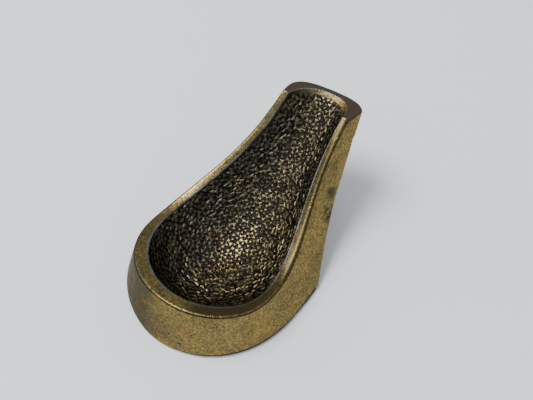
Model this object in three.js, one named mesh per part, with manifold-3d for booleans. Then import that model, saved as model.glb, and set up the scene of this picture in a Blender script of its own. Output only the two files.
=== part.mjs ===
// Tobacco-pipe rest: a solid cast brass spoon on a felt pad.
// A round bowl at the front cradles the pipe's bowl, and a shallow channel carries its shank
// up a neck that leans back over the table.
//
// Millimetres, +Z up, origin at the bottom centre of the whole object, neck towards +Y.

import * as THREE from "three";
import { mergeVertices } from "three/addons/utils/BufferGeometryUtils.js";
import Module from "manifold-3d";

// ---------------------------------------------------------------- driving dimensions

// Stations run along +Y from the front of the rim. Heights are above the table.
const TOE_HEIGHT = 18.7; // rim height at the front
const TOE_FLARE = 5.4; // how far the foot stands out in front of the rim
const RIM_HALF_WIDTH = 23.7;
const RIM_WIDEST = 21.6; // station
const NECK_HALF_WIDTH = 12.1;
const NECK_START = 71; // station where the neck's sides run straight
const NECK_TAPER = 0.1; // narrowing per millimetre of neck
const CREST_STATION = 74.5; // where the side lands end and the cap facet starts
const CREST_HEIGHT = 37.9;
const CAP_FALL = 0.22; // drop of the cap facet per millimetre towards the tip
const TIP_STATION = 85.5; // end of the neck, on the centre line
const TIP_SKEW = 0.13; // the hand-finished tip is this much out of square
const FOOT_HALF_WIDTH = 29.4;
const FOOT_WIDEST = 27; // station
const HEEL_STATION = 39.8; // end of the foot on the centre line, where the back starts to lean out
const HEEL_TURN = 1.5; // how far the back's section turns forward at its sides, at the foot
const TIP_TURN = 6.5; // the same at the tip, which is rounder

const TOE_LAND = 4.4; // width of the land at the front
const BASIN_HALF_WIDTH = 20.8;
const BASIN_WIDEST = 24; // station
const CHANNEL_HALF_WIDTH = 9.9;
const CHANNEL_START = 72.5; // station
const ARCH_TOP = 83.2; // station of the basin's round upper end
const ARCH_WALL = 3.7; // length of the steep end wall below it
const BOWL_FLOOR = 3.4; // lowest point of the basin
const BOWL_BOTTOM = 21; // its station
const CHANNEL_END_FLOOR = 34; // height of the channel's floor at the end wall
const SECTION_POWER = 2.5; // 2 makes the basin's cross-sections parabolas, more makes them squarer

const FELT_THICKNESS = 1;
const FELT_INSET = 0.35; // from the foot's edge

// Mesh fineness.
const STEPS = 12; // points along each stretch of an outline
const WALL_STEPS = 4; // steps from the rim down to the foot
const SECTION_HALF = 9; // points across half of the basin
const BACK_ROWS = 12; // points up the back
const BACK_COLUMNS = 10; // points across half of the back

const MIDDLE = (TIP_STATION - TOE_FLARE) / 2; // station of the origin

// ---------------------------------------------------------------- curves

const point = (x, y) => new THREE.Vector2(x, y);
const curve = (a, b, c, d) => new THREE.CubicBezierCurve(point(...a), point(...b), point(...c), point(...d));

// The points of a chain of curves, each curve starting where the last one ended.
function chain(curves, steps = STEPS) {
  const points = curves.flatMap((c) => c.getPoints(steps).slice(0, -1));
  return [...points, curves.at(-1).getPoint(1)];
}

// Second coordinate of a curve at a given first coordinate, which grows along it.
function readCurve(c, first) {
  let low = 0;
  let high = 1;
  for (let i = 0; i < 40; i += 1) {
    const middle = (low + high) / 2;
    if (c.getPoint(middle).x < first) low = middle;
    else high = middle;
  }
  return c.getPoint(low).y;
}

const OVERRUN = TIP_STATION + 4.5; // past the tip, so that the back surface can cut the block anywhere
const NECK_HANDLE = 20; // how far before the neck's start its sides already aim along it

// Right half of the rim's outer edge, seen from above.
const rimCurves = [
  curve([0, 0], [13, 0], [RIM_HALF_WIDTH, 9.2], [RIM_HALF_WIDTH, RIM_WIDEST]),
  curve(
    [RIM_HALF_WIDTH, RIM_WIDEST],
    [RIM_HALF_WIDTH, 39.8],
    [NECK_HALF_WIDTH + NECK_TAPER * NECK_HANDLE, NECK_START - NECK_HANDLE],
    [NECK_HALF_WIDTH, NECK_START],
  ),
  straight([NECK_HALF_WIDTH, NECK_START], [NECK_HALF_WIDTH - NECK_TAPER * (OVERRUN - NECK_START), OVERRUN]),
];

// Right half of the line at felt height that the side walls aim at, in step with the rim. It is
// the foot's edge as far as the heel. Behind the heel it only steers the walls under the neck.
const WAIST = [25.8, 58.4];
const LAST_WAIST = [16.6, OVERRUN];
const footCurves = [
  curve([0, -TOE_FLARE], [15, -TOE_FLARE], [FOOT_HALF_WIDTH, 6.2], [FOOT_HALF_WIDTH, FOOT_WIDEST]),
  curve([FOOT_HALF_WIDTH, FOOT_WIDEST], [FOOT_HALF_WIDTH, 37.7], [FOOT_HALF_WIDTH + 0.4, 38.3], WAIST),
  straight(WAIST, LAST_WAIST),
];

// Right half of the basin's edge, from the front to the top of the arch.
const basinCurves = [
  curve([0, TOE_LAND], [11.2, TOE_LAND], [BASIN_HALF_WIDTH, 13.2], [BASIN_HALF_WIDTH, BASIN_WIDEST]),
  curve(
    [BASIN_HALF_WIDTH, BASIN_WIDEST],
    [BASIN_HALF_WIDTH, 38],
    [11.3, 52.5],
    [CHANNEL_HALF_WIDTH, CHANNEL_START],
  ),
  curve([CHANNEL_HALF_WIDTH, CHANNEL_START], [9.7, 79.5], [6.3, ARCH_TOP], [0, ARCH_TOP]),
];

// Side view of the rim: station, height. It dips behind the toe and climbs the neck.
const LAST_HANDLE = [31.3, 6.1];
const rimProfile = curve([0, TOE_HEIGHT], [24, 12.4], LAST_HANDLE, [CREST_STATION, CREST_HEIGHT]);

// Side view of the basin's centre line, in two stretches that meet at its lowest point.
const CHANNEL_END = ARCH_TOP - ARCH_WALL;
const bowlProfile = curve(
  [TOE_LAND, readCurve(rimProfile, TOE_LAND)],
  [5.4, 8],
  [11.5, BOWL_FLOOR],
  [BOWL_BOTTOM, BOWL_FLOOR],
);
const channelProfile = curve(
  [BOWL_BOTTOM, BOWL_FLOOR],
  [37, BOWL_FLOOR],
  [48, 11.5],
  [CHANNEL_END, CHANNEL_END_FLOOR],
);

// Side view of the back's centre line: height, station.
const TIP_HEIGHT = CREST_HEIGHT - CAP_FALL * (TIP_STATION - CREST_STATION);
const backProfile = curve([0, HEEL_STATION], [11.3, 54.4], [22.6, 68.5], [TIP_HEIGHT, TIP_STATION]);

function straight(from, to) {
  const part = (share) => from.map((v, i) => v + (to[i] - v) * share);
  return curve(from, part(1 / 3), part(2 / 3), to);
}

// Height of the land, which climbs on past the crest until the cap facet cuts it off.
function landHeight(station) {
  if (station <= CREST_STATION) return readCurve(rimProfile, station);
  const climb = (CREST_HEIGHT - LAST_HANDLE[1]) / (CREST_STATION - LAST_HANDLE[0]);
  return CREST_HEIGHT + climb * (station - CREST_STATION);
}

// Height of the finished top: the land, then the cap facet.
function topHeight(station) {
  return station <= CREST_STATION ? landHeight(station) : CREST_HEIGHT - CAP_FALL * (station - CREST_STATION);
}

// Height of the basin's centre line.
function floorHeight(station) {
  if (station <= BOWL_BOTTOM) return readCurve(bowlProfile, station);
  if (station <= CHANNEL_END) return readCurve(channelProfile, station);
  const rise = topHeight(ARCH_TOP) - CHANNEL_END_FLOOR;
  return CHANNEL_END_FLOOR + rise * ((station - CHANNEL_END) / ARCH_WALL);
}

// ---------------------------------------------------------------- meshes

// A closed mesh through rows of points: each row is a closed loop, and each end is capped.
// A loop runs clockwise when seen from the next row.
function loftGeometry(rows) {
  const width = rows[0].length;
  const index = [];
  for (let r = 0; r + 1 < rows.length; r += 1) {
    for (let k = 0; k < width; k += 1) {
      const next = (k + 1) % width;
      const [a, b, c, d] = [r * width + k, r * width + next, (r + 1) * width + next, (r + 1) * width + k];
      index.push(a, c, b, a, d, c);
    }
  }
  const last = (rows.length - 1) * width;
  for (let k = 1; k + 1 < width; k += 1) {
    index.push(0, k, k + 1);
    index.push(last, last + k + 1, last + k);
  }
  const geometry = new THREE.BufferGeometry();
  const positions = rows.flat().flatMap((p) => [p.x, p.y, p.z]);
  geometry.setAttribute("position", new THREE.Float32BufferAttribute(positions, 3));
  geometry.setIndex(index);
  return geometry;
}

const wasm = await Module();
wasm.setup();

// A geometry as a manifold solid: shared vertices merged, collapsed triangles dropped.
function toSolid(geometry) {
  const bare = geometry.clone();
  bare.deleteAttribute("normal");
  bare.deleteAttribute("uv");
  const merged = mergeVertices(bare, 1e-4);
  const kept = [];
  const index = merged.index.array;
  for (let i = 0; i < index.length; i += 3) {
    const [a, b, c] = index.subarray(i, i + 3);
    if (a !== b && b !== c && c !== a) kept.push(a, b, c);
  }
  return new wasm.Manifold(
    new wasm.Mesh({
      numProp: 3,
      vertProperties: new Float32Array(merged.attributes.position.array),
      triVerts: new Uint32Array(kept),
    }),
  );
}

function toGeometry(solid) {
  const mesh = solid.getMesh();
  const geometry = new THREE.BufferGeometry();
  geometry.setAttribute("position", new THREE.BufferAttribute(new Float32Array(mesh.vertProperties), 3));
  geometry.setIndex(new THREE.BufferAttribute(new Uint32Array(mesh.triVerts), 1));
  geometry.computeVertexNormals();
  return geometry;
}

// ---------------------------------------------------------------- the casting

// The stretch of the neck along which the tip's skew sets in.
const SKEW_START = TIP_STATION - 25;
const SKEW_END = TIP_STATION - 5;

// A point of the casting, with the neck's last stretch sheared by the skew of its tip.
function at(x, station, z) {
  const shear = TIP_SKEW * THREE.MathUtils.smoothstep(station, SKEW_START, SKEW_END);
  return new THREE.Vector3(x, station + shear * x - MIDDLE, z);
}

// A point of the side wall: turn counts the outline's curves, and share goes from rim to foot.
function wallPoint(turn, share) {
  const stretch = Math.min(Math.floor(turn), rimCurves.length - 1);
  const rim = rimCurves[stretch].getPoint(turn - stretch);
  const foot = footCurves[stretch].getPoint(turn - stretch);
  const top = landHeight(rim.y);
  return {
    x: rim.x + (foot.x - rim.x) * share,
    station: rim.y + (foot.y - rim.y) * share,
    z: top + (FELT_THICKNESS - top) * share,
  };
}

// Half width between the side walls at a station and height.
function halfWidth(station, z) {
  let low = 0;
  let high = rimCurves.length;
  let x = 0;
  for (let i = 0; i < 24; i += 1) {
    const turn = (low + high) / 2;
    const top = wallPoint(turn, 0).z;
    const here = wallPoint(turn, (top - z) / (top - FELT_THICKNESS));
    if (here.station < station) low = turn;
    else high = turn;
    x = here.x;
  }
  return x;
}

// The uncut block: straight rulings from the rim down to the foot, on both sides.
function blockSolid() {
  const turns = Array.from({ length: rimCurves.length * STEPS + 1 }, (_, i) => i / STEPS);
  const rows = turns.map((turn) => {
    const wall = Array.from({ length: WALL_STEPS + 1 }, (_, i) => wallPoint(turn, 1 - i / WALL_STEPS));
    const right = wall.map((p) => at(p.x, p.station, p.z));
    const left = wall.map((p) => at(-p.x, p.station, p.z));
    return [...right, ...left.reverse()];
  });
  return toSolid(loftGeometry(rows));
}

// Right half of a level section through the back: a squarish ellipse that meets the side wall.
function backSection(z) {
  const turn = HEEL_TURN + (TIP_TURN - HEEL_TURN) * (z / TIP_HEIGHT) ** 4;
  const centre = readCurve(backProfile, z);
  const clearance = 0.1; // past the wall, so that the cut runs out of it cleanly
  const half = halfWidth(centre - turn, z) + clearance;
  const squareness = 2 / 2.7;
  const runOut = 15; // straight on sideways from there
  const section = Array.from({ length: BACK_COLUMNS + 1 }, (_, i) => {
    const angle = (Math.PI / 2) * (i / BACK_COLUMNS);
    const across = Math.sin(angle) ** squareness;
    const along = Math.max(Math.cos(angle), 0) ** squareness;
    return point(half * across, centre - turn * (1 - along));
  });
  return [...section, point(half + runOut, centre - turn)];
}

// Everything behind the back surface.
function behindSolid() {
  const far = TIP_STATION + 60;
  const overshoot = 1.06; // rows continue a little above the tip
  const rows = Array.from({ length: BACK_ROWS + 1 }, (_, k) => {
    const z = (TIP_HEIGHT * overshoot * k) / BACK_ROWS;
    const right = backSection(z);
    const left = right.slice(1).reverse();
    const face = [...left.map((p) => point(-p.x, p.y)), ...right];
    const reach = right.at(-1).x;
    const loop = [...face, point(reach, far), point(-reach, far)].reverse();
    return loop.map((p) => at(p.x, p.y, z));
  });
  return toSolid(loftGeometry(rows));
}

// Everything above the cap facet.
function aboveCapSolid() {
  const reach = 30;
  const span = 30;
  const rows = [-reach, reach].map((x) => [
    at(x, CREST_STATION, CREST_HEIGHT),
    at(x, CREST_STATION, CREST_HEIGHT + span),
    at(x, CREST_STATION + span, CREST_HEIGHT + span),
    at(x, CREST_STATION + span, CREST_HEIGHT - CAP_FALL * span),
  ]);
  return toSolid(loftGeometry(rows));
}

// The hollow of the basin, with some room above its edge.
function basinSolid() {
  const headroom = 6;
  const rows = chain(basinCurves).map(({ x: half, y: station }) => {
    const edge = topHeight(station);
    const floor = Math.min(floorHeight(station), edge);
    const section = [];
    for (let j = -SECTION_HALF; j <= SECTION_HALF; j += 1) {
      const across = Math.sin((Math.PI / 2) * (j / SECTION_HALF));
      const z = floor + (edge - floor) * Math.abs(across) ** SECTION_POWER;
      section.push(at(half * across, station, z));
    }
    return [...section, at(half, station, edge + headroom), at(-half, station, edge + headroom)];
  });
  return toSolid(loftGeometry(rows));
}

function castBody() {
  const solid = blockSolid().subtract(behindSolid()).subtract(aboveCapSolid()).subtract(basinSolid());
  const brass = new THREE.MeshStandardMaterial({ color: 0x8f7a4a, metalness: 1, roughness: 0.45 });
  const mesh = new THREE.Mesh(toGeometry(solid), brass);
  mesh.name = "cast_body";
  return mesh;
}

// ---------------------------------------------------------------- the felt pad

// The foot's outline, drawn in by the inset, with the heel's curved edge behind.
function feltPad() {
  const heel = backSection(FELT_THICKNESS).slice(0, -1);
  const heelCorner = heel.at(-1);
  const side = chain(footCurves)
    .filter((p) => p.y < heelCorner.y - 1)
    .map((p) => {
      const towardsMiddle = point(0, FOOT_WIDEST).sub(p).setLength(FELT_INSET);
      return p.clone().add(p.y < FOOT_WIDEST ? towardsMiddle : point(-FELT_INSET, 0));
    });
  const right = heel.map((p) => point(p.x * (1 - FELT_INSET / heelCorner.x), p.y - FELT_INSET)).reverse();
  const back = [...right, ...right.slice(0, -1).reverse().map((p) => point(-p.x, p.y))];
  const left = side
    .slice(1)
    .reverse()
    .map((p) => point(-p.x, p.y));
  const outline = [...side, ...back, ...left].map((p) => point(p.x, p.y - MIDDLE));
  const geometry = new THREE.ExtrudeGeometry(new THREE.Shape(outline), {
    depth: FELT_THICKNESS,
    bevelEnabled: false,
  });
  const felt = new THREE.MeshStandardMaterial({ color: 0x16161a, metalness: 0, roughness: 0.95 });
  const mesh = new THREE.Mesh(geometry, felt);
  mesh.name = "felt_pad";
  return mesh;
}

// ---------------------------------------------------------------- assembly

const pipeRest = new THREE.Group();
pipeRest.add(castBody(), feltPad());

export default pipeRest;
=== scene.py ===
"""Looks of the tobacco-pipe rest: a cast brass spoon with a pipped basin, on a felt pad.

Lengths in the shape's functions are in millimetres. Stations run along +Y from the front of the
rim, and heights are above the table. place() turns them into metres in the CAD frame.
"""

import math

import bpy
import numpy as np
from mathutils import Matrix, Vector, kdtree, noise


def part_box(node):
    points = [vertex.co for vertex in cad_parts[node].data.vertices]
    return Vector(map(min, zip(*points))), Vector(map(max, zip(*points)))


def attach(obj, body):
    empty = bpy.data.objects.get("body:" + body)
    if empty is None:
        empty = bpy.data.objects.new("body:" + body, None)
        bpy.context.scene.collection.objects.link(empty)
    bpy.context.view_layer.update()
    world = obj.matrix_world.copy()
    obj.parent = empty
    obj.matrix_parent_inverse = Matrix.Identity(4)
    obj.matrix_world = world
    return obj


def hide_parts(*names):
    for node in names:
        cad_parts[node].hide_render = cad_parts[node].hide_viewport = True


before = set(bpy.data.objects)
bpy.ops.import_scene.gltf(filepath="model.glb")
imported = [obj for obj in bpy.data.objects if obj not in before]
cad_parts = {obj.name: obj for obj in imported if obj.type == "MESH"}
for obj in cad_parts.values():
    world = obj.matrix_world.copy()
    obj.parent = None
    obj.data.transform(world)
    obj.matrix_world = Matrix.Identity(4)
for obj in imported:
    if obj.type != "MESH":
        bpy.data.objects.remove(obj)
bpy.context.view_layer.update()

# ---------------------------------------------------------------- driving dimensions

MM = 0.001
TOE_HEIGHT = 18.7  # rim height at the front
TOE_FLARE = 5.4  # how far the foot stands out in front of the rim
RIM_HALF_WIDTH = 23.7
RIM_WIDEST = 21.6  # station
NECK_HALF_WIDTH = 12.1
NECK_START = 71  # station where the neck's sides run straight
NECK_TAPER = 0.1
CREST_STATION = 74.5  # where the side lands end and the cap facet starts
CREST_HEIGHT = 37.9
CAP_FALL = 0.22  # drop of the cap facet per millimetre
TIP_STATION = 85.5
TIP_SKEW = 0.13  # how far the tip is out of square
FOOT_HALF_WIDTH = 29.4
FOOT_WIDEST = 27  # station
HEEL_STATION = 39.8  # end of the foot on the centre line
HEEL_TURN = 1.5  # how far the back's section turns forward at its sides, at the foot
TIP_TURN = 6.5  # the same at the tip
TOE_LAND = 4.4
BASIN_HALF_WIDTH = 20.8
BASIN_WIDEST = 24  # station
CHANNEL_HALF_WIDTH = 9.9
CHANNEL_START = 72.5  # station
ARCH_TOP = 83.2  # station of the basin's round upper end
ARCH_WALL = 3.7
BOWL_FLOOR = 3.4
BOWL_BOTTOM = 21  # station
CHANNEL_END_FLOOR = 34
SECTION_POWER = 2.5
FELT_THICKNESS = 1
FELT_INSET = 0.35
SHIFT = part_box("cast_body")[0].y / MM + TOE_FLARE  # from a station to the CAD frame's Y
OVERRUN = TIP_STATION + 4.5  # the walls run on past the tip, to be cut off by the back
NECK_HANDLE = 20  # how far before the neck's start its sides already aim along it
SKEW_START = TIP_STATION - 25  # where the tip's skew sets in
SKEW_LENGTH = 20
TURN_POWER = 4  # the back's sections turn late, near the tip
BACK_SQUARENESS = 2 / 2.7  # 1 makes the back's level sections ellipses, less makes them squarer

GRID = 0.2  # mesh spacing in the basin
LAND_STEPS = 8  # mesh steps across the land
WALL_STEPS = 26  # mesh steps from the rim down to the foot
BACK_HALF = 14  # mesh steps across half of the back
CROWN = 0.16  # how much the land is domed
SAG = 0.3  # how far the land's inner edge lies below its outer one
SAG_FADE_START = 62  # station
SAG_FADE_LENGTH = 10
EDGE_DROP = 6  # height of the strip that runs round below the tip's edge
BASE_STEPS = 10  # mesh steps across the flat base
FELT_ROUNDING = 0.35  # width of the pad's rounded border

# dark marks on the side wall: ruling, share down the wall, radius
STAINS = [(1.83, 0.46, 4), (1.89, 0.34, 2.6), (1.95, 0.2, 2), (1.33, 0.68, 0.45), (0.2, 0.8, 0.8)]

PIP_SPACING = 1.22  # least distance between the pips of the basin's texture
PIP_RADIUS = 0.72  # from a pip's middle to its sides
PIP_HEIGHT = 0.5
PIP_WEAR = 0.58  # share of a pip's height that is left under its worn flat top

# ---------------------------------------------------------------- curves


def along(curves, turn):
    """Points of a chain of cubic curves. The whole part of turn picks the curve."""
    turn = np.atleast_1d(np.asarray(turn, float))
    stretch = np.clip(np.floor(turn).astype(int), 0, len(curves) - 1)
    handles = np.array(curves, float)[stretch]
    t = (turn - stretch)[:, None]
    near = (1 - t) ** 3 * handles[:, 0] + 3 * t * (1 - t) ** 2 * handles[:, 1]
    far = 3 * t**2 * (1 - t) * handles[:, 2] + t**3 * handles[:, 3]
    return near + far


def straight(start, end):
    """A straight stretch, as a cubic curve."""
    start, end = np.array(start, float), np.array(end, float)
    return [start, start + (end - start) / 3, start + (end - start) * 2 / 3, end]


def reader(curves):
    """A function from the first coordinate of a chain, which grows along it, to the second."""
    table = along(curves, np.linspace(0, len(curves), 4001))
    return lambda first: np.interp(first, table[:, 0], table[:, 1])


# Right half of the rim, and of the line at felt height that the walls aim at, seen from above.
RIM = [
    [[0, 0], [13, 0], [RIM_HALF_WIDTH, 9.2], [RIM_HALF_WIDTH, RIM_WIDEST]],
    [
        [RIM_HALF_WIDTH, RIM_WIDEST],
        [RIM_HALF_WIDTH, 39.8],
        [NECK_HALF_WIDTH + NECK_TAPER * NECK_HANDLE, NECK_START - NECK_HANDLE],
        [NECK_HALF_WIDTH, NECK_START],
    ],
    straight([NECK_HALF_WIDTH, NECK_START], [NECK_HALF_WIDTH - NECK_TAPER * (OVERRUN - NECK_START), OVERRUN]),
]
WAIST = [25.8, 58.4]  # behind the heel the line only steers the walls under the neck
LAST_WAIST = [16.6, OVERRUN]
FOOT = [
    [[0, -TOE_FLARE], [15, -TOE_FLARE], [FOOT_HALF_WIDTH, 6.2], [FOOT_HALF_WIDTH, FOOT_WIDEST]],
    [[FOOT_HALF_WIDTH, FOOT_WIDEST], [FOOT_HALF_WIDTH, 37.7], [FOOT_HALF_WIDTH + 0.4, 38.3], WAIST],
    straight(WAIST, LAST_WAIST),
]
# Right half of the basin's edge, from the front to the top of the arch.
BASIN = [
    [[0, TOE_LAND], [11.2, TOE_LAND], [BASIN_HALF_WIDTH, 13.2], [BASIN_HALF_WIDTH, BASIN_WIDEST]],
    [
        [BASIN_HALF_WIDTH, BASIN_WIDEST],
        [BASIN_HALF_WIDTH, 38],
        [11.3, 52.5],
        [CHANNEL_HALF_WIDTH, CHANNEL_START],
    ],
    [[CHANNEL_HALF_WIDTH, CHANNEL_START], [9.7, 79.5], [6.3, ARCH_TOP], [0, ARCH_TOP]],
]
# Side views: the rim (station, height), and the back's centre line (height, station).
LAST_HANDLE = [31.3, 6.1]
rim_height = reader([[[0, TOE_HEIGHT], [24, 12.4], LAST_HANDLE, [CREST_STATION, CREST_HEIGHT]]])
CLIMB = (CREST_HEIGHT - LAST_HANDLE[1]) / (CREST_STATION - LAST_HANDLE[0])
TIP_HEIGHT = CREST_HEIGHT - CAP_FALL * (TIP_STATION - CREST_STATION)
back_centre = reader([[[0, HEEL_STATION], [11.3, 54.4], [22.6, 68.5], [TIP_HEIGHT, TIP_STATION]]])


def land_height(station):
    """Height of the land, climbing on past the crest."""
    return np.where(
        station <= CREST_STATION,
        rim_height(station),
        CREST_HEIGHT + CLIMB * (station - CREST_STATION),
    )


def top_height(station):
    """Height of the finished top: the land, then the cap facet."""
    return np.where(
        station <= CREST_STATION,
        rim_height(station),
        CREST_HEIGHT - CAP_FALL * (station - CREST_STATION),
    )


def sag(station):
    """Drop of the land's inner edge, which fades out towards the cap facet."""
    return SAG * (1 - np.clip((station - SAG_FADE_START) / SAG_FADE_LENGTH, 0, 1))


def place(x, station, z):
    """Points in metres in the CAD frame, with the neck's end sheared by the skew of its tip."""
    ease = np.clip((station - SKEW_START) / SKEW_LENGTH, 0, 1)
    shear = TIP_SKEW * ease**2 * (3 - 2 * ease)
    return np.stack(np.broadcast_arrays(x, station + shear * x + SHIFT, z), -1) * MM


# ---------------------------------------------------------------- side walls and back


def wall_point(turn, share):
    """x, station and height of the side wall. share goes from the rim to felt height."""
    rim, foot = along(RIM, turn), along(FOOT, turn)
    plan = rim + (foot - rim) * np.asarray(share)[..., None]
    top = land_height(rim[:, 1])
    return plan[:, 0], plan[:, 1], top + (FELT_THICKNESS - top) * share


def share_at(turn, z):
    """The share at which a ruling of the wall is at height z."""
    top = land_height(along(RIM, turn)[:, 1])
    return (top - z) / (top - FELT_THICKNESS)


def turn_at(station, z):
    """Which ruling of the wall passes a station at height z."""
    low, high = np.zeros_like(z), np.full_like(z, 2.999)
    for _ in range(40):
        middle = (low + high) / 2
        short = wall_point(middle, share_at(middle, z))[1] < station
        low, high = np.where(short, middle, low), np.where(short, high, middle)
    return low


def corner_station(z):
    """Station of the line where the back meets the side wall."""
    return back_centre(z) - HEEL_TURN - (TIP_TURN - HEEL_TURN) * (z / TIP_HEIGHT) ** TURN_POWER


def back_point(angle, z):
    """x, station and height of the back. angle is 0 on the centre line and pi / 2 at the side."""
    z = np.asarray(z, float)
    side = corner_station(z)
    turn = turn_at(side, z)
    half = wall_point(turn, share_at(turn, z))[0]
    across = np.sin(angle) ** BACK_SQUARENESS
    inward = 1 - np.maximum(np.cos(angle), 0) ** BACK_SQUARENESS
    return half * across, back_centre(z) - (back_centre(z) - side) * inward, z


def back_top(angle):
    """Height at which the back meets the cap facet."""
    z = np.full_like(angle, TIP_HEIGHT)
    for _ in range(30):
        z = top_height(back_point(angle, z)[1])
    return z


def top_edge():
    """The top's outer edge behind the neck's start.

    Returns rulings and shares along the wall, angles along the back, and a mark for each of
    these points in turn, which grows evenly from 2 to 3 along the edge.
    """
    turns = np.linspace(2, 2.9, 1500)
    shares = np.zeros_like(turns)
    for _ in range(40):
        station = wall_point(turns, shares)[1]
        shares = np.maximum(share_at(turns, top_height(station)), 0)
    x, station, z = wall_point(turns, shares)
    kept = station < corner_station(z)
    wall = np.stack([x, station, z], 1)[kept]
    angles = np.linspace(math.pi / 2, 0, 400)
    arc = np.stack(back_point(angles, back_top(angles)), 1)
    line = np.concatenate([wall, arc])
    travelled = np.concatenate([[0], np.cumsum(np.linalg.norm(np.diff(line, axis=0), axis=1))])
    return turns[kept], shares[kept], angles, 2 + travelled / travelled[-1]


# ---------------------------------------------------------------- mesh making


class Patchwork:
    """A mesh put together from rows of points, stitched with triangles."""

    def __init__(self):
        self.points = []
        self.faces = []
        self.count = 0

    def row(self, points):
        """Adds points and returns their numbers."""
        points = np.asarray(points).reshape(-1, 3)
        self.points.append(points)
        numbers = list(range(self.count, self.count + len(points)))
        self.count += len(points)
        return numbers

    def stitch(self, a, b):
        """Triangles between two rows that run side by side.

        With the rows running to the right and b ahead of a, the outside is up.
        """
        where = np.concatenate(self.points) if len(self.points) > 1 else self.points[0]
        self.points = [where]
        i = j = 0
        while i + 1 < len(a) or j + 1 < len(b):
            if j + 1 == len(b):
                forward_a = True
            elif i + 1 == len(a):
                forward_a = False
            else:
                over_a = np.sum((where[a[i + 1]] - where[b[j]]) ** 2)
                over_b = np.sum((where[b[j + 1]] - where[a[i]]) ** 2)
                forward_a = over_a < over_b
            if forward_a:
                face = (a[i], a[i + 1], b[j])
                i += 1
            else:
                face = (a[i], b[j + 1], b[j])
                j += 1
            if len(set(face)) == 3:
                self.faces.append(face)

    def arrays(self):
        return np.concatenate(self.points), np.array(self.faces)


def evenly(line, spacing, least=1):
    """Points spaced evenly along a dense line, its two ends among them."""
    step = np.linalg.norm(np.diff(line, axis=0), axis=1)
    travelled = np.concatenate([[0], np.cumsum(step)])
    count = max(least, round(travelled[-1] / spacing))
    wanted = np.linspace(0, travelled[-1], count + 1)
    return np.stack([np.interp(wanted, travelled, line[:, k]) for k in range(line.shape[1])], 1)


def graded(count, ends):
    """Numbers from 0 to 1 that crowd towards both ends."""
    t = np.linspace(0, 1, count + 1)
    return t + (0.5 - 0.5 * np.cos(math.pi * t) - t) * ends


def centre_line():
    """Stations and heights of the basin's centre line, evenly spaced."""
    end = ARCH_TOP - ARCH_WALL
    brim = float(rim_height(TOE_LAND)) - SAG
    front = [[TOE_LAND, brim], [5.4, 8], [11.5, BOWL_FLOOR], [BOWL_BOTTOM, BOWL_FLOOR]]
    rise = [[BOWL_BOTTOM, BOWL_FLOOR], [37, BOWL_FLOOR], [48, 11.5], [end, CHANNEL_END_FLOOR]]
    wall = straight([end, CHANNEL_END_FLOOR], [ARCH_TOP, float(top_height(ARCH_TOP))])
    return evenly(along([front, rise, wall], np.linspace(0, 3, 9001)), GRID)


def basin_rows():
    """Rows of points across the basin, and where each row's end is on the basin's outline."""
    dense = np.linspace(0, 3, 12001)
    outline = along(BASIN, dense)
    rows, turns = [], []
    across = np.linspace(-1, 1, 401)
    middle = len(across) // 2
    narrowest = 0.05  # half width below which a row is a single point
    for station, floor in centre_line():
        turn = float(np.interp(station, outline[:, 1], dense))
        half = max(float(along(BASIN, turn)[0, 0]), 0)
        edge = max(float(top_height(station) - sag(station)), floor)
        z = floor + (edge - floor) * np.abs(across) ** SECTION_POWER
        line = np.stack([half * across, np.full_like(across, station), z], 1)
        rows.append(line[middle : middle + 1] if half < narrowest else evenly(line, GRID, 2))
        turns.append(turn)
    return rows, np.array(turns)


def outer_columns(turns):
    """For each point of the basin's outline, the column from it over the land and down the wall.

    A column is the land's points, the wall's points, and whether it ends on the foot's edge.
    """
    edge_turns, edge_shares, angles, marks = top_edge()
    wall_marks, back_marks = marks[: len(edge_turns)], marks[len(edge_turns) :]
    tip_corner = float(back_top(np.array([math.pi / 2]))[0])
    scale = (tip_corner - EDGE_DROP - FELT_THICKNESS) / (tip_corner - FELT_THICKNESS)
    columns = []
    for turn, start in zip(turns, along(BASIN, turns)):
        start = np.array([max(start[0], 0), start[1]])
        if turn <= 2:
            columns.append(wall_column(start, turn, 0.0, scale))
        elif turn <= wall_marks[-1]:
            ruling = float(np.interp(turn, wall_marks, edge_turns))
            share = float(np.interp(turn, wall_marks, edge_shares))
            columns.append(wall_column(start, ruling, share, scale))
        else:
            columns.append(tip_column(start, float(np.interp(turn, back_marks, angles))))
    return columns


def land_part(start, edge):
    """The land between the basin's outline and the outer edge, slightly domed."""
    t = graded(LAND_STEPS, 0.5)
    plan = start + (edge[:2] - start) * t[:, None]
    dome = CROWN * np.interp(t, [0, 0.4, 0.7, 0.88, 1], [0, 0.6, 1, 0.8, 0])
    z = top_height(plan[:, 1]) + dome - sag(plan[:, 1]) * np.clip(1 - t / 0.8, 0, 1)
    return np.column_stack([plan, z])


def wall_column(start, turn, share, scale):
    """Over the land and down the side wall, to the foot's edge or the back's."""
    turn = np.array([turn])
    edge = np.array(wall_point(turn, np.array([share]))).ravel()
    end_turn, end_share = float(turn[0]), 1.0
    on_foot = along(FOOT, turn)[0, 1] <= corner_station(FELT_THICKNESS)
    if not on_foot:
        end_turn, end_share = back_corner(turn, share, scale)
    end = np.array(wall_point(np.array([end_turn]), np.array([end_share]))).ravel()
    length = np.linalg.norm(end - edge)
    t = graded(WALL_STEPS, 0.75)
    # the first and last steps are short, which keeps the rounding of the edges tight
    near = min(0.35 / max(length, 0.5), 0.5 / WALL_STEPS)
    t[1:-1] = near + (1 - 2 * near) * (t[1:-1] - t[1]) / (t[-2] - t[1])
    turns = turn[0] + (end_turn - turn[0]) * t
    shares = share + (end_share - share) * t
    wall = np.stack(wall_point(turns, shares), 1)
    return land_part(start, edge), wall[1:], on_foot


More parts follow.
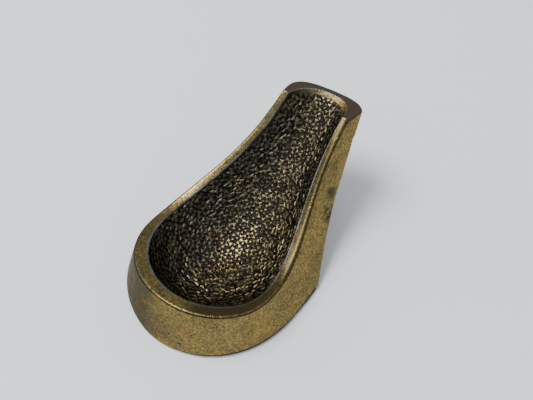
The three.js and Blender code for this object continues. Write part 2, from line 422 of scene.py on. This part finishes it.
def back_corner(turn, share, scale):
    """Ruling and share at which a column meets the back, its height drawn down by the scale."""
    low, high = share, 1.0
    for _ in range(40):
        middle = (low + high) / 2
        _, station, z = (float(v[0]) for v in wall_point(turn, np.array([middle])))
        low, high = (middle, high) if station < corner_station(z) else (low, middle)
    z = float(wall_point(turn, np.array([low]))[2][0])
    z = np.array([FELT_THICKNESS + (z - FELT_THICKNESS) * scale])
    ruling = turn_at(corner_station(z), z)
    return float(ruling[0]), float(share_at(ruling, z)[0])


def tip_column(start, angle):
    """Over the cap facet and a little way down the back."""
    angle = np.array([angle])
    top = back_top(angle)
    edge = np.array(back_point(angle, top)).ravel()
    t = graded(WALL_STEPS, 0)[1:]
    back = np.stack(back_point(np.full_like(t, angle[0]), top - EDGE_DROP * t), 1)
    return land_part(start, edge), back, False


def mirrored(points):
    return points * np.array([-1, 1, 1])


def placed(points):
    return place(points[:, 0], points[:, 1], points[:, 2])


def build_casting():
    """Vertices (metres) and triangles of the untextured casting, how many vertices are the
    basin's, the ring number of each vertex outside it, and the vertices of its outline."""
    work = Patchwork()
    rows, turns = basin_rows()
    numbers = [work.row(placed(r)) for r in rows]
    basin_count = work.count
    for a, b in zip(numbers, numbers[1:]):
        work.stitch(a, b)

    kept = [0, *range(2, len(rows) - 2, 2), len(rows) - 1]
    columns = outer_columns(turns[kept])
    right, left = [], []
    for k, (land, wall, _) in enumerate(columns):
        line = np.concatenate([land[1:], wall])
        right.append(work.row(placed(line)))
        on_axis = k in (0, len(columns) - 1)
        left.append(right[-1] if on_axis else work.row(placed(mirrored(line))))

    # the dense outline of the basin meets the first ring of the land
    work.stitch([c[0] for c in right], [r[-1] for r in numbers])
    work.stitch([r[0] for r in numbers], [c[0] for c in left])
    for ring in range(len(right[0]) - 1):
        work.stitch([c[ring + 1] for c in right], [c[ring] for c in right])
        work.stitch([c[ring] for c in left], [c[ring + 1] for c in left])

    build_underside(work, columns, right, left)
    points, faces = work.arrays()
    rings = np.full(len(points), -1)
    for column in right + left:
        rings[column] = np.arange(len(column)) + 1
    return points, faces, basin_count, rings, [r[k] for r in numbers for k in (0, -1)]


def build_underside(work, columns, right, left):
    """The flat base under the foot, then the back up to the strip below the tip's edge."""
    last = corner_index(columns)
    on_foot = [k for k, c in enumerate(columns) if c[2]]
    on_corner = [k for k, c in enumerate(columns) if not c[2] and k <= last]
    previous = [right[0][-1]]
    for k in on_foot[1:]:
        end = columns[k][1][-1]
        t = graded(BASE_STEPS, 0.6)[1:-1]
        x = end[0] * (2 * t - 1)
        middle = work.row(place(x, np.full_like(x, end[1]), np.full_like(x, FELT_THICKNESS)))
        row = [left[k][-1], *middle, right[k][-1]]
        work.stitch(row, previous)
        previous = row

    angles = (math.pi / 2) * graded(2 * BACK_HALF, 0.35)[1:-1] * 2 - math.pi / 2
    top = back_top(np.abs(angles))
    corner_top = float(back_top(np.array([math.pi / 2]))[0])
    for k in on_corner:
        height = columns[k][1][-1][2]
        rise = (height - FELT_THICKNESS) / (corner_top - EDGE_DROP - FELT_THICKNESS)
        z = FELT_THICKNESS + rise * (top - EDGE_DROP - FELT_THICKNESS)
        x, station, z = back_point(np.abs(angles), z)
        middle = work.row(place(x * np.sign(angles), station, z))
        row = [left[k][-1], *middle, right[k][-1]]
        work.stitch(row, previous)
        previous = row
    tip = range(last + 1, len(columns))
    arc = [left[k][-1] for k in (on_corner[-1], *tip)] + [right[k][-1] for k in tip[-2::-1]]
    work.stitch([*arc, right[on_corner[-1]][-1]], previous)


def corner_index(columns):
    """Number of the last column that ends on the line where back and wall meet."""
    heights = [c[1][-1][2] for c in columns]
    return max(range(len(columns)), key=lambda k: heights[k])


def smooth(points, faces, weight, rounds):
    """Moves each vertex towards the mean of its neighbours, by its weight."""
    pairs = np.concatenate([faces[:, [0, 1]], faces[:, [1, 2]], faces[:, [2, 0]]])
    pairs = np.concatenate([pairs, pairs[:, ::-1]])
    degree = np.bincount(pairs[:, 0], minlength=len(points)).astype(float)
    for _ in range(rounds):
        total = [np.bincount(pairs[:, 0], points[pairs[:, 1], k], len(points)) for k in range(3)]
        mean = np.stack(total, 1) / np.maximum(degree, 1)[:, None]
        points = points + (mean - points) * weight[:, None]
    return points


def normals_of(points, faces):
    """Unit normals at the vertices."""
    a, b, c = points[faces[:, 0]], points[faces[:, 1]], points[faces[:, 2]]
    face = np.cross(b - a, c - a)
    total = np.zeros_like(points)
    for k in range(3):
        for axis in range(3):
            total[:, axis] += np.bincount(faces[:, k], face[:, axis], len(points))
    return total / np.maximum(np.linalg.norm(total, axis=1, keepdims=True), 1e-20)


def tree_of(points):
    """A tree for finding the nearest of the points."""
    tree = kdtree.KDTree(len(points))
    for i, p in enumerate(points):
        tree.insert(Vector(p), i)
    tree.balance()
    return tree


# ---------------------------------------------------------------- the basin's texture


def pip_seeds(points, allowed, random):
    """Points of the basin at which the pips stand: no two nearer than the spacing."""
    cell = PIP_SPACING * MM
    taken, seeds = {}, []
    for k in random.permutation(np.flatnonzero(allowed)):
        p = points[k]
        home = tuple(np.floor(p / cell).astype(int))
        near = [
            taken.get((home[0] + i, home[1] + j, home[2] + m), ())
            for i in (-1, 0, 1)
            for j in (-1, 0, 1)
            for m in (-1, 0, 1)
        ]
        if all(np.sum((p - points[q]) ** 2) >= cell**2 for group in near for q in group):
            taken.setdefault(home, []).append(k)
            seeds.append(k)
    return seeds


def pip_heights(points, normals, seeds, count, random):
    """How high each of the basin's vertices stands in a three-sided pip, and that pip's tone.

    Heights go from 0 in the valleys to 1 at the tips, and tones from 0 to 1.
    """
    tree = tree_of(points[seeds])
    turns = random.uniform(0, 2 * math.pi, len(seeds))
    sizes = random.uniform(0.8, 1.2, len(seeds)) * PIP_RADIUS * MM
    tones = random.uniform(0, 1, len(seeds))
    first = np.cross(normals[seeds], [1.0, 0, 0])
    first /= np.linalg.norm(first, axis=1, keepdims=True)
    second = np.cross(normals[seeds], first)
    sides = [turns + k * 2 * math.pi / 3 for k in range(3)]
    outward = [np.cos(s)[:, None] * first + np.sin(s)[:, None] * second for s in sides]
    near = np.array([[hit[1] for hit in tree.find_n(Vector(p), 4)] for p in points[:count]])
    best, tone = np.zeros(count), np.zeros(count)
    for column in near.T:
        offset = points[:count] - points[np.array(seeds)[column]]
        reach = np.max([np.sum(offset * o[column], axis=1) for o in outward], axis=0)
        height = 1 - reach / sizes[column]
        tone = np.where(height > best, tones[column], tone)
        best = np.maximum(best, height)
    return np.clip(best, 0, 1), tone


# ---------------------------------------------------------------- pieces


def make_object(name, points, faces, attributes):
    """A smooth-shaded object, its attributes given as a number for each vertex."""
    mesh = bpy.data.meshes.new(name)
    mesh.from_pydata(points.tolist(), [], faces.tolist())
    mesh.update()
    for key, values in attributes.items():
        layer = mesh.attributes.new(key, "FLOAT", "POINT")
        layer.data.foreach_set("value", values.astype(np.float32))
    mesh.polygons.foreach_set("use_smooth", np.ones(len(mesh.polygons), bool))
    piece = bpy.data.objects.new(name, mesh)
    bpy.context.scene.collection.objects.link(piece)
    return piece


def soften(points, faces, inside, rings):
    """Rounds the casting's edges, where inside is the depth into the basin in millimetres."""
    # the shoulder at the basin's outline
    shoulder = np.zeros(len(points))
    shoulder[: len(inside)] = np.clip(1.1 - inside * 1.4, 0, 1)
    shoulder[(rings >= 0) & (rings <= 1)] = 0.5
    points = smooth(points, faces, 0.5 * shoulder, 5)
    # the outer edge of the top
    edges = np.zeros(len(points))
    edges[(rings >= LAND_STEPS - 1) & (rings <= LAND_STEPS + 2)] = 1
    points = smooth(points, faces, 0.5 * edges, 4)
    # the foot's edge and the back's, up to where the strip below the tip begins
    corner = np.clip((rings - rings.max() + 4) / 4, 0, 1) * (points[:, 2] < 30 * MM)
    points = smooth(points, faces, 0.5 * corner, 6)
    heel = corner * (points[:, 2] < 14 * MM) * (stations(points) > 30)
    return smooth(points, faces, 0.5 * heel, 2)


def stations(points):
    return points[:, 1] / MM - SHIFT


def make_casting():
    random = np.random.default_rng(7)
    points, faces, basin_count, rings, outline = build_casting()
    tree = tree_of(points[outline])
    inside = np.array([tree.find(Vector(p))[2] for p in points[:basin_count]]) / MM
    points = soften(points, faces, inside, rings)
    normals = normals_of(points, faces)
    station = stations(points)

    # the pips, which keep clear of the basin's outline, most of all near the tip
    margin = np.interp(station[:basin_count], [40, 60, 74, 80], [1.0, 1.5, 1.8, 2.4])
    seeds = pip_seeds(points, inside > margin, random)
    pip, tone = pip_heights(points, normals, seeds, basin_count, random)
    covered = np.clip((inside - margin + 0.8) / 0.6, 0, 1)
    lift = (np.minimum(pip, PIP_WEAR) - PIP_WEAR / 2) * covered
    points[:basin_count] += normals[:basin_count] * (PIP_HEIGHT * MM * lift)[:, None]

    points += normals * casting_waves(points)[:, None]
    base = points[:, 2] < (FELT_THICKNESS + 0.01) * MM
    points[base, 2] = FELT_THICKNESS * MM

    # painted shade on the smooth band inside the basin's outline, which fades out at the tip's arch
    shaded_inner_band = (1 - covered) * np.interp(station[:basin_count], [75, 79], [1, 0])
    basin = {"pip": pip, "tone": tone, "textured": covered, "inner_band_shade": shaded_inner_band}
    attributes = {key: np.pad(values, (0, len(points) - basin_count)) for key, values in basin.items()}
    attributes |= outer_attributes(points, rings, station)
    # painted highlight along the basin's inner edge
    attributes["inner_edge_highlight"][:basin_count] = np.clip(1 - inside / 0.35, 0, 1)
    attributes["stain"] = stain_marks(points)
    piece = make_object("casting", points, faces, attributes)
    # the pips are faceted, and everything else is smooth
    piece.data.polygons.foreach_set("use_smooth", np.any(faces >= basin_count, axis=1))
    return piece


def outer_attributes(points, rings, station):
    """Where the colour changes outside the basin, painted highlight and reflection among it, by the rings of
    vertices around it.
    """
    names = ("cap", "dark_rim_and_reflection", "inner_edge_highlight", "land")
    cap, dark_rim_and_reflection, inner_edge_highlight, land = (np.zeros(len(points)) for _ in names)
    on_top = (rings >= 0) & (rings <= LAND_STEPS)
    skew = TIP_SKEW * points[:, 0] / MM
    cap[on_top] = np.clip((station - skew - CREST_STATION)[on_top] / 0.4 + 0.5, 0, 1)
    # dark patina in the top's outer edge, with painted dark reflection
    dark_rim_and_reflection[(rings >= LAND_STEPS) & (rings <= LAND_STEPS + 1)] = 1
    # painted dark reflection makes the line wider on the right, more so away from the toe
    on_right = np.interp(station, [15, 35], [0.3, 1]) * (points[:, 0] > 0)
    below_edge = (rings >= LAND_STEPS + 2) & (rings <= LAND_STEPS + 3)
    dark_rim_and_reflection[below_edge] = on_right[below_edge]
    # painted grey-blue highlight on the land's inner edge
    inner_edge_highlight[(rings >= 0) & (rings <= 1)] = 1
    land[(rings >= 1) & (rings <= LAND_STEPS - 2)] = 1
    return dict(zip(names, (cap, dark_rim_and_reflection, inner_edge_highlight, land)))


def stain_marks(points):
    """Dark marks on the right side wall: ruling, share down the wall, and radius in millimetres."""
    marks = np.zeros(len(points))
    for turn, share, radius in STAINS:
        middle = np.stack(wall_point(np.array([turn]), np.array([share])), 1)
        distance = np.linalg.norm(points - placed(middle), axis=1) / MM
        marks = np.maximum(marks, np.clip(1.6 - 1.6 * distance / radius, 0, 1))
    return marks


def casting_waves(points):
    """Faint unevenness of the cast surface, in metres."""
    wave = [0.035 * noise.noise(Vector(p) * 140) + 0.018 * noise.noise(Vector(p) * 420) for p in points]
    return np.array(wave) * MM


def felt_outline(station):
    """Half width of the felt pad at a station."""
    foot = along(FOOT[:2], np.linspace(0, 2, 4001))
    inset = np.interp(foot[:, 1], [-TOE_FLARE, FOOT_WIDEST], [FELT_INSET, 0])
    side = np.interp(station, foot[:, 1] + inset, foot[:, 0] - FELT_INSET)
    angle = np.linspace(math.pi / 2, 0, 200)
    heel = np.stack(back_point(angle, np.full_like(angle, FELT_THICKNESS)), 1)
    rear = np.interp(station, heel[:, 1] - FELT_INSET, heel[:, 0] * (1 - FELT_INSET / heel[0, 0]))
    return np.where(station < heel[0, 1] - FELT_INSET, np.maximum(side, 0), rear)


def make_felt():
    """The pad, a closed sheet with slightly fuzzy, rounded edges, and its flat area."""
    heel_side = float(corner_station(FELT_THICKNESS)) - FELT_INSET
    start, end = -TOE_FLARE + FELT_INSET, float(back_centre(FELT_THICKNESS)) - FELT_INSET
    t = np.linspace(0, 1, 60)
    front = start + (heel_side - start) * (1 - np.cos(t * math.pi / 2))
    rear = heel_side + (end - heel_side) * np.sin(np.linspace(0, 1, 12)[1:] * math.pi / 2)
    work = Patchwork()
    loops = [work.row(felt_loop(station)) for station in np.concatenate([front, rear])]
    for a, b in zip(loops, loops[1:]):
        work.stitch([*a, a[0]], [*b, b[0]])
    half = len(loops[0]) // 2
    first, last = loops[0], loops[-1]
    work.stitch(first[half:][::-1], first[:half])
    work.stitch(last[:half], last[half:][::-1])
    points, faces = work.arrays()
    fuzz = np.array([noise.noise(Vector(p) * 900) for p in points]) * 0.04 * MM
    inner = (points[:, 2] > 0.1 * MM) & (points[:, 2] < 0.9 * MM)
    points[inner, 0] += fuzz[inner] * np.sign(points[inner, 0])
    across = np.linspace(start, end, 400)
    return make_object("felt", points, faces, {}), 2 * np.trapz(felt_outline(across), across)


def felt_loop(station):
    """The pad's outline across itself at a station: over the top, then back underneath."""
    half = max(float(felt_outline(station)), 0.02)
    u = graded(40, 0.5) * 2 - 1
    rounding = ((np.abs(u) * half - (half - FELT_ROUNDING)) / FELT_ROUNDING).clip(0, 1)
    bow = np.sqrt(np.clip(1 - rounding**2, 0, 1))
    upper = FELT_THICKNESS * (0.5 + 0.5 * (0.35 + 0.65 * bow))
    lower = FELT_THICKNESS * (0.5 - 0.5 * (0.35 + 0.65 * bow))
    top = place(u * half, np.full_like(u, station), upper)
    bottom = place(u[::-1] * half, np.full_like(u, station), lower[::-1])
    return np.concatenate([top, bottom])


# ---------------------------------------------------------------- materials


class Nodes:
    """Short names for building a material's node tree."""

    def __init__(self, material):
        material.use_nodes = True
        self.tree = material.node_tree
        self.tree.nodes.clear()
        self.output = self.tree.nodes.new("ShaderNodeOutputMaterial")
        self.shader = self.tree.nodes.new("ShaderNodeBsdfPrincipled")
        self.link(self.shader.outputs[0], self.output.inputs["Surface"])
        self.where = self.tree.nodes.new("ShaderNodeTexCoord").outputs["Object"]

    def link(self, source, target):
        self.tree.links.new(source, target)

    def attribute(self, name):
        node = self.tree.nodes.new("ShaderNodeAttribute")
        node.attribute_name = name
        return node.outputs["Fac"]

    def axis(self, name):
        node = self.tree.nodes.new("ShaderNodeSeparateXYZ")
        self.link(self.where, node.inputs[0])
        return node.outputs[name]

    def noise(self, scale, detail=4, rough=0.6):
        node = self.tree.nodes.new("ShaderNodeTexNoise")
        node.inputs["Scale"].default_value = scale
        node.inputs["Detail"].default_value = detail
        node.inputs["Roughness"].default_value = rough
        self.link(self.where, node.inputs["Vector"])
        return node.outputs["Fac"]

    def cells(self, scale):
        node = self.tree.nodes.new("ShaderNodeTexVoronoi")
        node.inputs["Scale"].default_value = scale
        self.link(self.where, node.inputs["Vector"])
        return node.outputs["Distance"]

    def ramp(self, value, low, high, start=0.0, end=1.0):
        """value from low to high, mapped smoothly to start to end."""
        node = self.tree.nodes.new("ShaderNodeMapRange")
        node.interpolation_type = "SMOOTHSTEP"
        self.link(value, node.inputs["Value"])
        for name, number in (("From Min", low), ("From Max", high), ("To Min", start), ("To Max", end)):
            node.inputs[name].default_value = number
        return node.outputs["Result"]

    def math(self, kind, a, b):
        """A sum kept within 0 and 1, except for a difference."""
        node = self.tree.nodes.new("ShaderNodeMath")
        node.operation = kind
        node.use_clamp = kind != "SUBTRACT"
        for socket, value in zip(node.inputs, (a, b)):
            if isinstance(value, (int, float)):
                socket.default_value = value
            else:
                self.link(value, socket)
        return node.outputs[0]

    def mix(self, share, a, b):
        """Colour a, turning to colour b as share goes to 1."""
        node = self.tree.nodes.new("ShaderNodeMix")
        node.data_type = "RGBA"
        self.link(share, node.inputs["Factor"])
        for socket, value in zip((node.inputs[6], node.inputs[7]), (a, b)):
            if isinstance(value, tuple):
                socket.default_value = (*value, 1)
            else:
                self.link(value, socket)
        return node.outputs[2]

    def bump(self, height, distance, strength=None, before=None):
        """Fine relief, distance deep in metres, on top of the relief before it."""
        node = self.tree.nodes.new("ShaderNodeBump")
        node.inputs["Distance"].default_value = distance
        self.link(height, node.inputs["Height"])
        if strength:
            self.link(strength, node.inputs["Strength"])
        if before:
            self.link(before, node.inputs["Normal"])
        return node.outputs["Normal"]


def cast_colour(n, shaded_left_side):
    """Brass with patina, rust and dirt, as on the whole casting, and painted shade on the toe's left side."""
    colour = n.mix(n.ramp(n.noise(110, 5), 0.35, 0.68), (0.3, 0.215, 0.065), (0.19, 0.148, 0.055))
    golden = n.ramp(n.noise(170, 3), 0.55, 0.72, 0, 0.7)
    colour = n.mix(golden, colour, (0.44, 0.27, 0.045))
    stains = n.ramp(n.noise(75, 6, 0.7), 0.52, 0.66, 0, 0.6)
    colour = n.mix(stains, colour, (0.1, 0.08, 0.05))
    mottle = n.ramp(n.noise(1100, 4, 0.75), 0.4, 0.58, 0, 0.8)
    colour = n.mix(mottle, colour, (0.115, 0.09, 0.042))
    bright = n.ramp(n.noise(1900, 3, 0.7), 0.54, 0.66, 0, 0.75)
    colour = n.mix(bright, colour, (0.47, 0.355, 0.13))
    # painted shade: the toe's left side is darker and greyer
    colour = n.mix(shaded_left_side, colour, (0.07, 0.064, 0.045))
    rust = n.ramp(n.noise(210, 4, 0.6), 0.6, 0.68, 0, 0.6)
    colour = n.mix(rust, colour, (0.34, 0.15, 0.025))
    specks = n.ramp(n.noise(1700, 5, 0.8), 0.56, 0.62, 0, 0.9)
    colour = n.mix(specks, colour, (0.025, 0.02, 0.015))
    pinholes = n.math("MULTIPLY", n.ramp(n.cells(800), 0.16, 0.24, 1, 0), n.ramp(n.noise(260, 3), 0.48, 0.6))
    return n.mix(pinholes, colour, (0.015, 0.012, 0.01))


def local_colour(n, colour, land, textured, valley):
    """The colour's changes from place to place, by the mesh's attributes."""
    grime = n.math("MULTIPLY", n.attribute("stain"), n.ramp(n.noise(420, 5, 0.7), 0.36, 0.56))
    colour = n.mix(grime, colour, (0.035, 0.03, 0.03))
    # painted shade: the land is darker on the right side
    right_land_shade = n.math("MULTIPLY", land, n.ramp(n.axis("X"), 0.004, 0.012, 0.12, 0.9))
    colour = n.mix(right_land_shade, colour, (0.06, 0.046, 0.02))
    greyer = n.math("MULTIPLY", textured, n.ramp(n.axis("Y"), -0.008, 0.03, 0.25, 0.7))
    colour = n.mix(greyer, colour, (0.15, 0.135, 0.085))
    # painted shade darkens the smooth band inside the basin's outline
    colour = n.mix(n.ramp(n.attribute("inner_band_shade"), 0, 1, 0, 0.85), colour, (0.035, 0.026, 0.018))
    dull = n.ramp(n.attribute("tone"), 0.1, 0.95, 0.8, 0.15)
    colour = n.mix(n.math("MULTIPLY", dull, textured), colour, (0.03, 0.027, 0.022))
    colour = n.mix(valley, colour, (0.016, 0.014, 0.013))
    # dark patina and painted dark reflection along the top's outer edge
    colour = n.mix(n.ramp(n.attribute("dark_rim_and_reflection"), 0.3, 0.9, 0, 0.8), colour, (0.02, 0.017, 0.013))
    # painted grey-blue highlight along the basin's inner edge
    inner_edge_highlight = n.math("MULTIPLY", n.attribute("inner_edge_highlight"), n.ramp(n.noise(120, 3), 0.4, 0.6, 0.2, 0.8))
    colour = n.mix(inner_edge_highlight, colour, (0.2, 0.22, 0.24))
    return n.mix(n.ramp(n.attribute("cap"), 0, 1, 0, 0.85), colour, (0.12, 0.095, 0.07))


def brass_material():
    material = bpy.data.materials.new("aged_brass")
    n = Nodes(material)
    land, textured = n.attribute("land"), n.attribute("textured")
    # the toe's left side is rougher, and greyer and darker with painted shade, except for its land
    left = n.ramp(n.axis("X"), -0.007, 0.002, 0.85, 0)
    shaded_left_side = n.math("MULTIPLY", left, n.ramp(land, 0, 1, 1, 0.15))
    valley = n.math("MULTIPLY", n.ramp(n.attribute("pip"), 0.1, 0.5, 0.95, 0), textured)
    colour = local_colour(n, cast_colour(n, shaded_left_side), land, textured, valley)
    n.link(colour, n.shader.inputs["Base Color"])
    n.shader.inputs["Metallic"].default_value = 1
    n.shader.inputs["Specular Tint"].default_value = (0.55, 0.54, 0.5, 1)

    roughness = n.ramp(n.noise(500, 5), 0.3, 0.75, 0.24, 0.42)
    roughness = n.math("ADD", roughness, n.math("MULTIPLY", valley, 0.1))
    roughness = n.math("ADD", roughness, n.math("MULTIPLY", shaded_left_side, 0.12))
    roughness = n.math("SUBTRACT", roughness, n.math("MULTIPLY", land, 0.06))
    roughness = n.math("SUBTRACT", roughness, n.math("MULTIPLY", textured, 0.06))
    n.link(roughness, n.shader.inputs["Roughness"])
    smoother = n.math("MAXIMUM", textured, land)
    strength = n.math("SUBTRACT", 1, n.math("MULTIPLY", smoother, 0.75))
    grain = n.bump(n.noise(2600, 4, 0.65), 0.00012, strength)
    pits = n.bump(n.ramp(n.cells(900), 0.1, 0.35), 0.00008, strength, grain)
    n.link(pits, n.shader.inputs["Normal"])
    return material


def felt_material():
    material = bpy.data.materials.new("black_felt")
    n = Nodes(material)
    fibres = n.noise(5200, 6, 0.8)
    colour = n.mix(n.ramp(fibres, 0.35, 0.7), (0.012, 0.012, 0.014), (0.05, 0.05, 0.056))
    n.link(colour, n.shader.inputs["Base Color"])
    n.link(n.ramp(n.noise(700, 4), 0.3, 0.7, 0.85, 1), n.shader.inputs["Roughness"])
    n.shader.inputs["Sheen Weight"].default_value = 0.25
    n.link(n.bump(fibres, 0.00025), n.shader.inputs["Normal"])
    return material


def floor_material():
    material = bpy.data.materials.new("pale_table")
    n = Nodes(material)
    n.shader.inputs["Base Color"].default_value = (0.86, 0.872, 0.905, 1)
    n.shader.inputs["Roughness"].default_value = 0.6
    return material


# ---------------------------------------------------------------- table, light and camera


def make_stage():
    mesh = bpy.data.meshes.new("table")
    reach = 3
    corners = [(-reach, -reach, 0), (reach, -reach, 0), (reach, reach, 0), (-reach, reach, 0)]
    mesh.from_pydata(corners, [], [(0, 1, 2, 3)])
    floor = bpy.data.objects.new("table", mesh)
    floor.data.materials.append(floor_material())
    bpy.context.scene.collection.objects.link(floor)

    world = bpy.data.worlds.new("room")
    bpy.context.scene.world = world
    world.use_nodes = True
    background = world.node_tree.nodes["Background"]
    background.inputs["Color"].default_value = (0.9, 0.95, 1, 1)
    background.inputs["Strength"].default_value = 0.68
    add_light("overhead", (-0.73, -0.42, 1.82), 0.9, 42)
    add_light("window", (-2, -0.5, 1.05), 0.8, 5)


def add_light(name, place_at, size, power):
    data = bpy.data.lights.new(name, "AREA")
    data.size = size
    data.energy = power
    light = bpy.data.objects.new(name, data)
    light.location = place_at
    light.rotation_euler = (-Vector(place_at)).to_track_quat("-Z", "Y").to_euler()
    bpy.context.scene.collection.objects.link(light)


def make_camera():
    azimuth, elevation, distance = math.radians(38.49), math.radians(54), 0.22987
    target = Vector((0, 0.00985, 0.01304))
    back = Vector(
        (
            math.sin(azimuth) * math.cos(elevation),
            -math.cos(azimuth) * math.cos(elevation),
            math.sin(elevation),
        )
    )
    data = bpy.data.cameras.new("view")
    data.lens = 47.3
    data.clip_start = 0.01
    camera = bpy.data.objects.new("view", data)
    camera.location = target + back * distance
    camera.rotation_euler = (-back).to_track_quat("-Z", "Y").to_euler()
    bpy.context.scene.collection.objects.link(camera)
    bpy.context.scene.camera = camera


# ---------------------------------------------------------------- assembly

casting = make_casting()
casting.data.materials.append(brass_material())
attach(casting, "root")
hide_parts("cast_body")

felt, felt_area = make_felt()
felt.data.materials.append(felt_material())
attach(felt, "root")
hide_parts("felt_pad")

make_stage()
make_camera()
